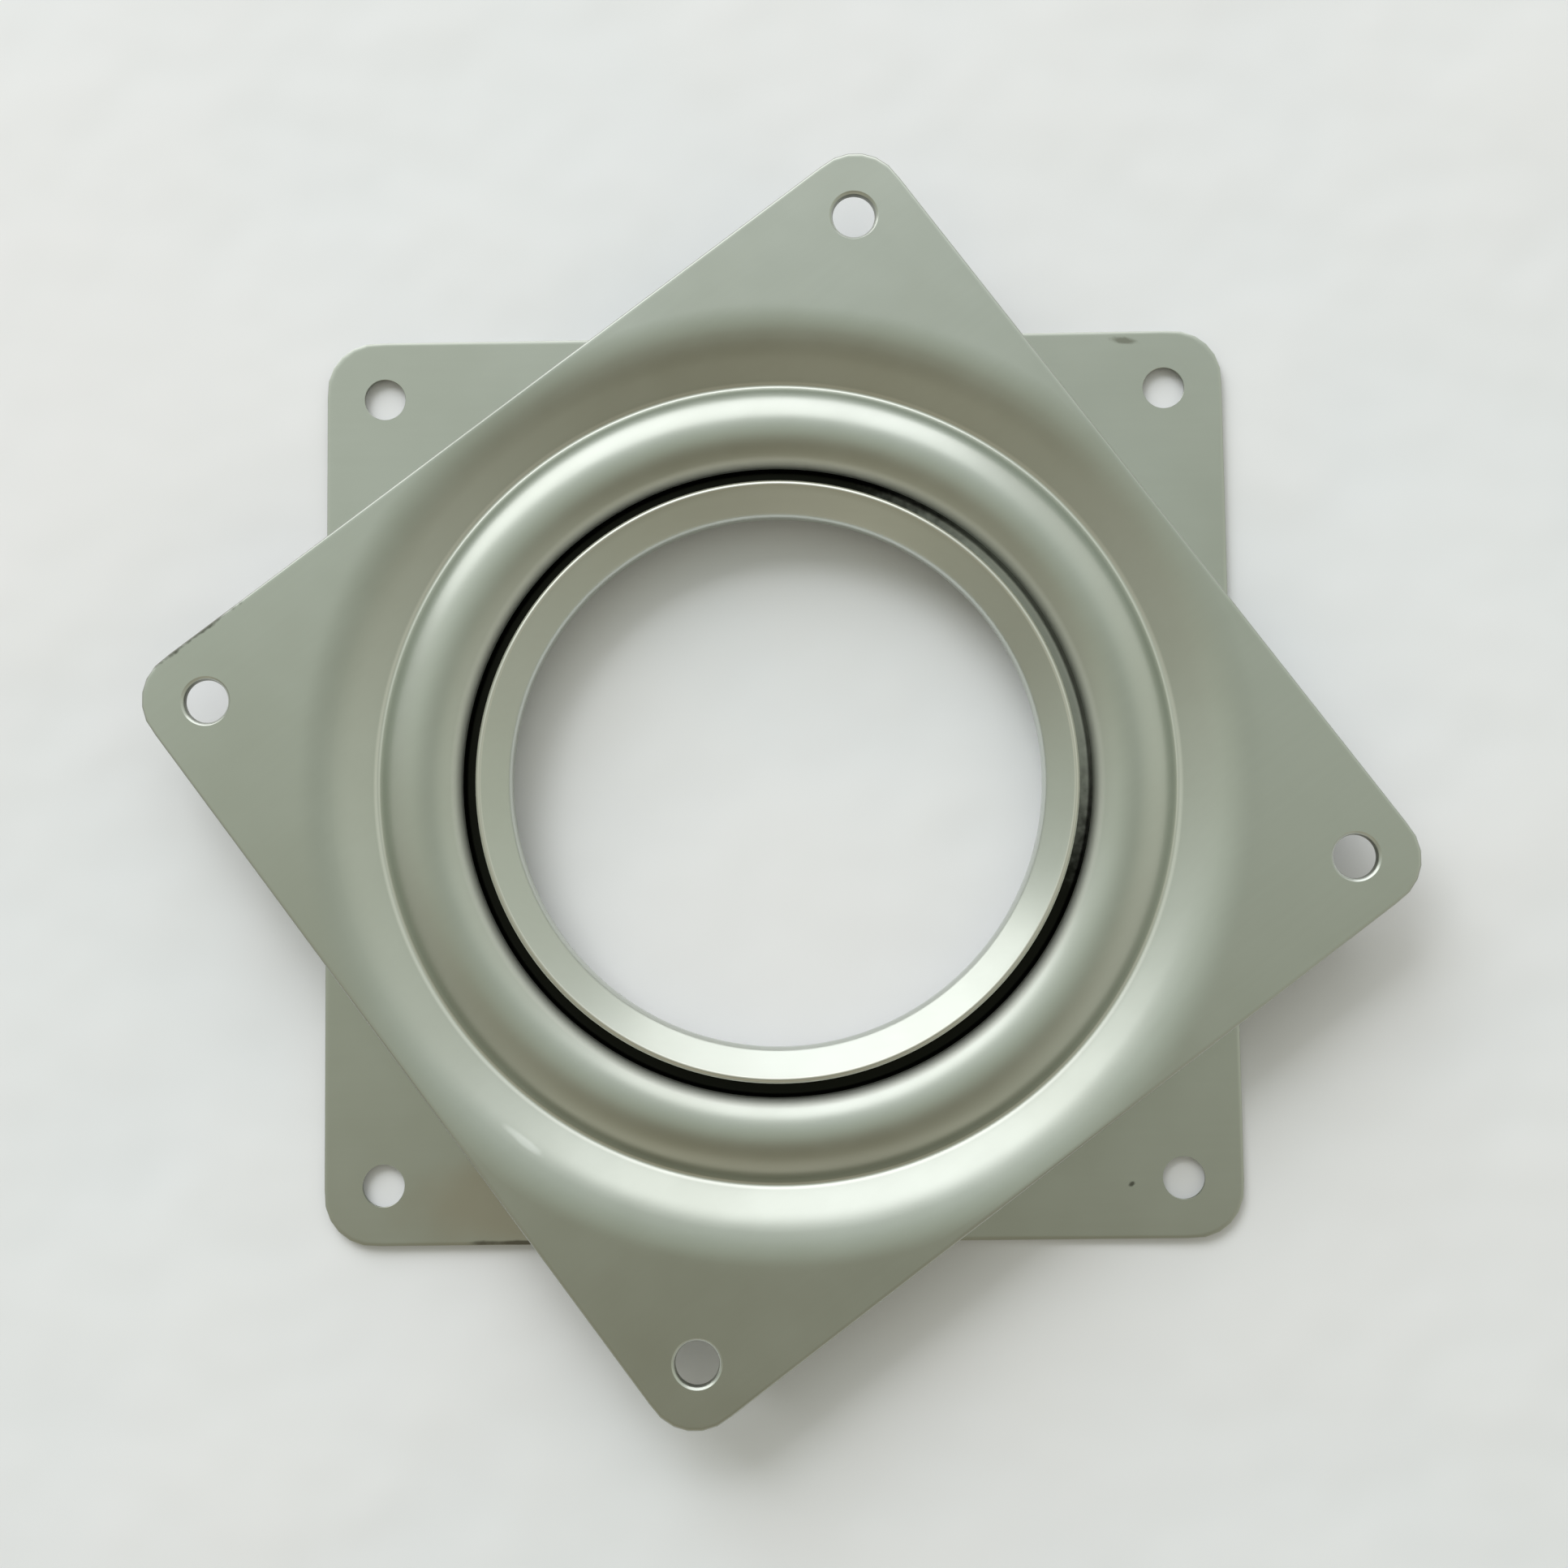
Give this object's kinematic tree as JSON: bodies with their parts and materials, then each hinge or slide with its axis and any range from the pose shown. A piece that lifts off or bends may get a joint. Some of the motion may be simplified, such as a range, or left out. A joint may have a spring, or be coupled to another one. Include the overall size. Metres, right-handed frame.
{
  "type": "lazy susan bearing",
  "caption": "Flat square swivel bearing: two dished sheet steel plates that turn on a hidden row of balls round a wide centre hole, with a screw hole in each corner.",
  "frame": {"origin": "centre of the base plate's underside, on the turning axis", "axes": "+Z along the turning axis, from the base plate to the top plate; X and Y along the sides of the base plate"},
  "size_m": [0.1572, 0.1572, 0.0095],
  "materials": {
    "zinc_plate": "zinc plated sheet steel, satin, with a faint green grey cast",
    "ball_steel": "polished hardened steel"
  },
  "bodies": {
    "base": {"base_plate": "zinc_plate"},
    "turntable": {"top_plate": "zinc_plate"},
    "ball_row": {"ball_01": "ball_steel", "ball_02": "ball_steel", "ball_03": "ball_steel", "ball_04": "ball_steel", "ball_05": "ball_steel", "ball_06": "ball_steel", "ball_07": "ball_steel", "ball_08": "ball_steel", "ball_09": "ball_steel", "ball_10": "ball_steel", "ball_11": "ball_steel", "ball_12": "ball_steel", "ball_13": "ball_steel", "ball_14": "ball_steel", "ball_15": "ball_steel", "ball_16": "ball_steel", "ball_17": "ball_steel", "ball_18": "ball_steel", "ball_19": "ball_steel", "ball_20": "ball_steel", "ball_21": "ball_steel", "ball_22": "ball_steel", "ball_23": "ball_steel", "ball_24": "ball_steel", "ball_25": "ball_steel", "ball_26": "ball_steel", "ball_27": "ball_steel", "ball_28": "ball_steel", "ball_29": "ball_steel", "ball_30": "ball_steel", "ball_31": "ball_steel", "ball_32": "ball_steel", "ball_33": "ball_steel", "ball_34": "ball_steel", "ball_35": "ball_steel", "ball_36": "ball_steel", "ball_37": "ball_steel", "ball_38": "ball_steel", "ball_39": "ball_steel", "ball_40": "ball_steel", "ball_41": "ball_steel", "ball_42": "ball_steel", "ball_43": "ball_steel", "ball_44": "ball_steel", "ball_45": "ball_steel", "ball_46": "ball_steel", "ball_47": "ball_steel", "ball_48": "ball_steel"}
  },
  "joints": [
    {"name": "plate_turn", "type": "hinge", "parent": "base", "child": "turntable", "pos_m": [0, 0, 0.00475], "axis": [0, 0, 1], "continuous": true},
    {"name": "ball_orbit", "type": "hinge", "parent": "base", "child": "ball_row", "pos_m": [0, 0, 0.00475], "axis": [0, 0, 1], "continuous": true}
  ],
  "couplings": [
    {"joint": "ball_orbit", "follows": "plate_turn", "ratio": 0.5}
  ]
}
